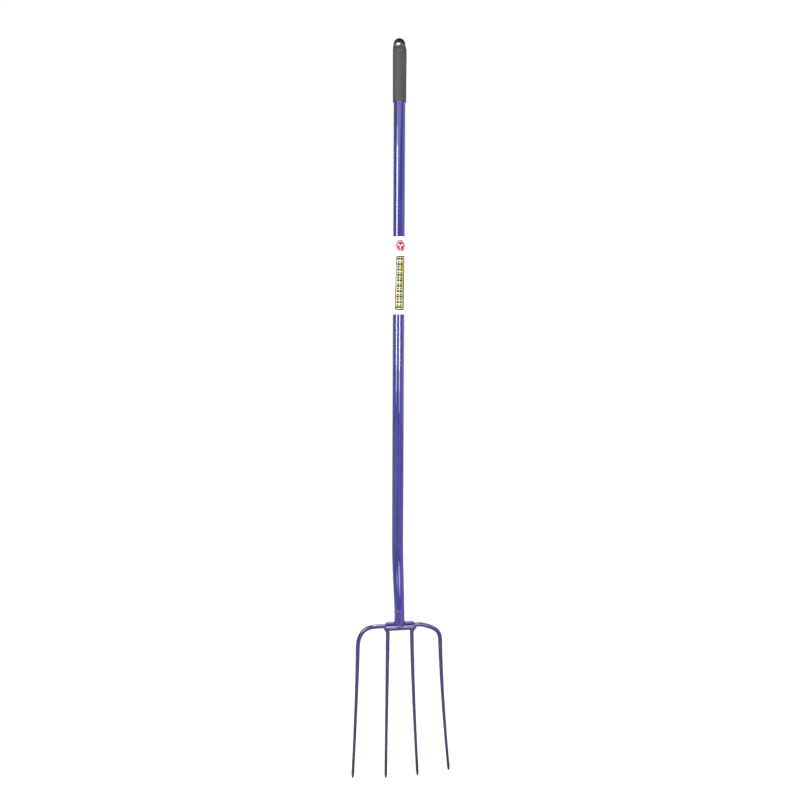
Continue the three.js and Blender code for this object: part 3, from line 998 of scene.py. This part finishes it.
# ------------------------------------------------------------------ stage, light and camera
VIEW_AZIMUTH = math.radians(-7.4)
VIEW_DISTANCE = 1562
VIEW_HEIGHT = 1028.9
VIEW_PITCH = math.radians(-5)
VIEW_ROLL = math.radians(0.27)
VIEW_SIDESTEP = 4.4
VIEW_LENS = 29.25
STRIP_DISTANCE = 1500
STRIP_LEFT_AZIMUTH = math.radians(-39)
STRIP_LEFT_WIDTH = 600
STRIP_RIGHT_AZIMUTH = math.radians(23)
STRIP_RIGHT_WIDTH = 560
CARD_DISTANCE = 1800
CARD_OFFSET = math.radians(-4)
CARD_HALF_WIDTH = 300
CARD_HEIGHT = 1800


def around(azimuth, distance, height):
    """A point round the shaft in metres; azimuth 0 is straight in front, positive towards +X."""
    return Vector((distance * math.sin(azimuth), AXIS_Y - distance * math.cos(azimuth), height)) * MM


def build_floor():
    """A pale table top that melts into the white backdrop for the camera.

    Reflections see it darker, so that it doesn't wash out the lower shaft and the tines.
    """
    half = 6.0  # metres
    below_tips = 0.2
    corners = [(-half, -half, 0), (half, -half, 0), (half, half, 0), (-half, half, 0)]
    floor = bpy.data.objects.new("floor", bpy.data.meshes.new("floor"))
    floor.data.from_pydata(corners, [], [(0, 1, 2, 3)])
    bpy.context.collection.objects.link(floor)
    floor.location.z = -below_tips * MM
    pale = Look("pale_floor")
    tint = pale.blend(pale.cloud(40, detail=4), (0.50, 0.50, 0.50), (0.54, 0.54, 0.54))
    ray = pale.node("ShaderNodeLightPath").outputs
    seen = ray["Is Camera Ray"]
    tint = pale.blend(ray["Is Glossy Ray"], tint, (0.26, 0.26, 0.26))
    pale.set(
        Base_Color=pale.blend(seen, tint, (0.20, 0.20, 0.20)),
        Roughness=0.8,
        Specular_IOR_Level=0.0,
        Emission_Color=(1, 1, 1),
        Emission_Strength=pale.remap(seen, 0, 1, 0.1, 0.66),
    )
    floor.data.materials.append(pale.material)


def build_world():
    """The room as the paint reflects it; the camera itself sees plain white.

    White behind the fork and bright on the right, dark round the camera. A bright patch high
    in front has a slanting lower edge that leaves a dark band on the upper shaft, and a small
    ceiling lamp straight overhead puts glints on the bars.
    """
    world = bpy.data.worlds.new("studio")
    bpy.context.scene.world = world
    world.use_nodes = True
    room = Nodes(world.node_tree)
    way = room.split(room.node("ShaderNodeTexCoord").outputs["Generated"])
    turn = room.sum("ARCTAN2", way["X"], room.sum("MULTIPLY", way["Y"], -1))
    across = room.sum("SUBTRACT", room.sum("DEGREES", turn), math.degrees(VIEW_AZIMUTH))
    up = room.sum("DEGREES", room.sum("ARCSINE", way["Z"]))

    behind = room.remap(room.sum("ABSOLUTE", across), 85, 150)
    right = room.remap(across, 25, 90, 0, 1.1)
    slant = room.sum("SUBTRACT", up, room.sum("ADD", 11.5, room.sum("MULTIPLY", across, 0.125)))
    patch = room.sum("MULTIPLY", room.remap(slant, 1, 5, 0, 2.4), room.remap(across, -60, -40))
    light = room.sum("MAXIMUM", room.sum("MAXIMUM", behind, right), patch)
    band = room.remap(room.sum("ABSOLUTE", slant), 0.8, 3.5, 0.15, 1)
    beside = room.remap(room.sum("ABSOLUTE", across), 80, 100)
    light = room.sum("MULTIPLY", light, room.sum("MAXIMUM", band, beside))
    dimmed_ceiling = room.remap(up, 35, 60, 1, 0.25)
    light = room.sum("MULTIPLY", light, dimmed_ceiling)
    overhead_lamp = room.remap(up, 79, 83, 0.035, 45)
    light = room.sum("ADD", light, overhead_lamp)

    seen = room.node("ShaderNodeLightPath").outputs["Is Camera Ray"]
    background = world.node_tree.nodes["Background"]
    background.inputs["Color"].default_value = (1, 1, 1, 1)
    room.join(room.remap(seen, 0, 1, light, 1.0), background.inputs["Strength"])


def soft_box(name, place, target, width, height, radiance):
    """A rectangular lamp facing a point; radiance is how bright its face looks."""
    lamp = bpy.data.lights.new(name, "AREA")
    lamp.shape = "RECTANGLE"
    lamp.size = width * MM
    lamp.size_y = height * MM
    lamp.energy = radiance * math.pi * lamp.size * lamp.size_y
    obj = bpy.data.objects.new(name, lamp)
    obj.location = place
    obj.rotation_euler = (target - place).to_track_quat("-Z", "Y").to_euler()
    obj.visible_camera = False
    bpy.context.collection.objects.link(obj)
    return obj


def tall_strip(name, azimuth, width, pieces):
    """An upright strip light built of stacked lamps, each (low, high, radiance)."""
    for low, high, radiance in pieces:
        middle = (low + high) / 2
        place = around(VIEW_AZIMUTH + azimuth, STRIP_DISTANCE, middle)
        soft_box(f"{name}_{low}", place, around(0, 0, middle), width, high - low, radiance)


def build_lights():
    """Two tall strip lights in front, left and right; each fades in from below, piece by piece."""
    tall_strip("strip_left", STRIP_LEFT_AZIMUTH, STRIP_LEFT_WIDTH, [
        (740, 800, 2), (800, 930, 8), (930, 1930, 17), (1930, 2010, 5)])
    tall_strip("strip_right", STRIP_RIGHT_AZIMUTH, STRIP_RIGHT_WIDTH, [
        (700, 800, 4), (800, 900, 9), (900, 1160, 20)])


def build_dark_card():
    """Stands for the photographer: a dark upright card behind the camera, seen only in reflections."""
    azimuth = VIEW_AZIMUTH + CARD_OFFSET
    centre = around(azimuth, CARD_DISTANCE, 0)
    side = Vector((math.cos(azimuth), math.sin(azimuth), 0)) * CARD_HALF_WIDTH * MM
    rise = Vector((0, 0, CARD_HEIGHT * MM))
    card = bpy.data.objects.new("dark_card", bpy.data.meshes.new("dark_card"))
    corners = [centre - side, centre + side, centre + side + rise, centre - side + rise]
    card.data.from_pydata([tuple(c) for c in corners], [], [(0, 1, 2, 3)])
    bpy.context.collection.objects.link(card)
    cloth = Look("dark_cloth")
    tint = cloth.blend(cloth.cloud(60, detail=4), (0.02, 0.02, 0.02), (0.04, 0.04, 0.04))
    cloth.set(Base_Color=tint, Roughness=0.9)
    card.data.materials.append(cloth.material)
    card.visible_camera = False
    card.visible_diffuse = False
    card.visible_shadow = False


def build_camera():
    """From chest height, slightly from the left, looking a little down."""
    camera = bpy.data.objects.new("camera", bpy.data.cameras.new("camera"))
    bpy.context.collection.objects.link(camera)
    camera.data.sensor_width = 36
    camera.data.lens = VIEW_LENS
    camera.data.clip_start = 0.01
    camera.location = around(VIEW_AZIMUTH, VIEW_DISTANCE, VIEW_HEIGHT)
    heading = Matrix.Rotation(VIEW_AZIMUTH, 4, "Z")
    upright = Matrix.Rotation(math.pi / 2 + VIEW_PITCH, 4, "X")
    roll = Matrix.Rotation(VIEW_ROLL, 4, "Z")
    camera.matrix_world = Matrix.Translation(camera.location) @ heading @ upright @ roll
    camera.location += camera.matrix_world.to_3x3() @ Vector((VIEW_SIDESTEP * MM, 0, 0))
    bpy.context.scene.camera = camera


# ------------------------------------------------------------------ build
build_shaft()
build_neck()
build_outer_bar()
build_inner_bar()
build_bar_welds()
build_neck_welds()
build_collar_weld()
build_grip()
build_label()
build_panel()
build_badge()
build_floor()
build_world()
build_lights()
build_dark_card()
build_camera()
bpy.context.scene.view_settings.view_transform = "Standard"
